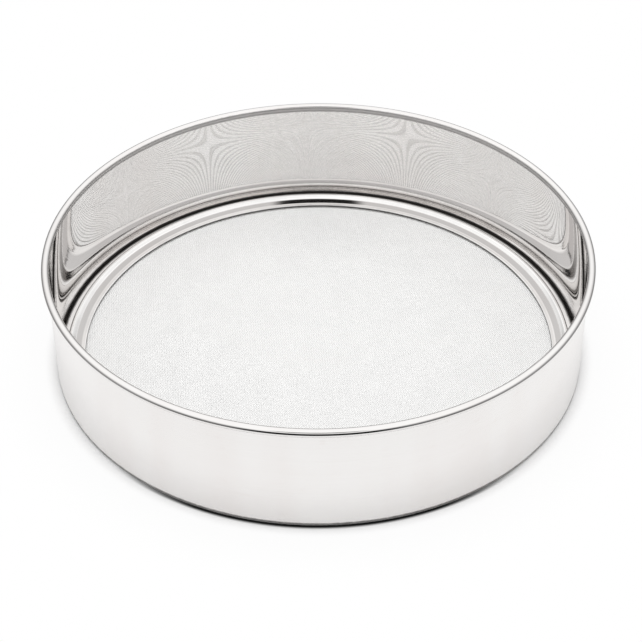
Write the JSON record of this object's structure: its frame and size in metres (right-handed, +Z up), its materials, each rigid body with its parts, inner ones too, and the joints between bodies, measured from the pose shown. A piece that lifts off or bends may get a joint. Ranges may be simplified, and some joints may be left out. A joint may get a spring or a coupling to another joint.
{
  "type": "tamis drum sieve",
  "caption": "Low round sieve: a rolled-rim stainless steel hoop with a fixed disc of fine wire cloth held at its base by a formed clamp ring.",
  "frame": {"origin": "centre of the footprint, on the plane that the base flange stands on", "axes": "+Z up along the drum's axis; +X and +Y lie along the two wire directions of the cloth, and the hoop is the same all round"},
  "size_m": [0.2, 0.2, 0.044],
  "materials": {
    "hoop_steel": "polished",
    "ring_steel": "polished",
    "cloth_steel": "bright drawn wire"
  },
  "bodies": {
    "root": {"drum_wall": "hoop_steel", "clamp_ring": "ring_steel", "wire_cloth": "cloth_steel"}
  },
  "joints": []
}
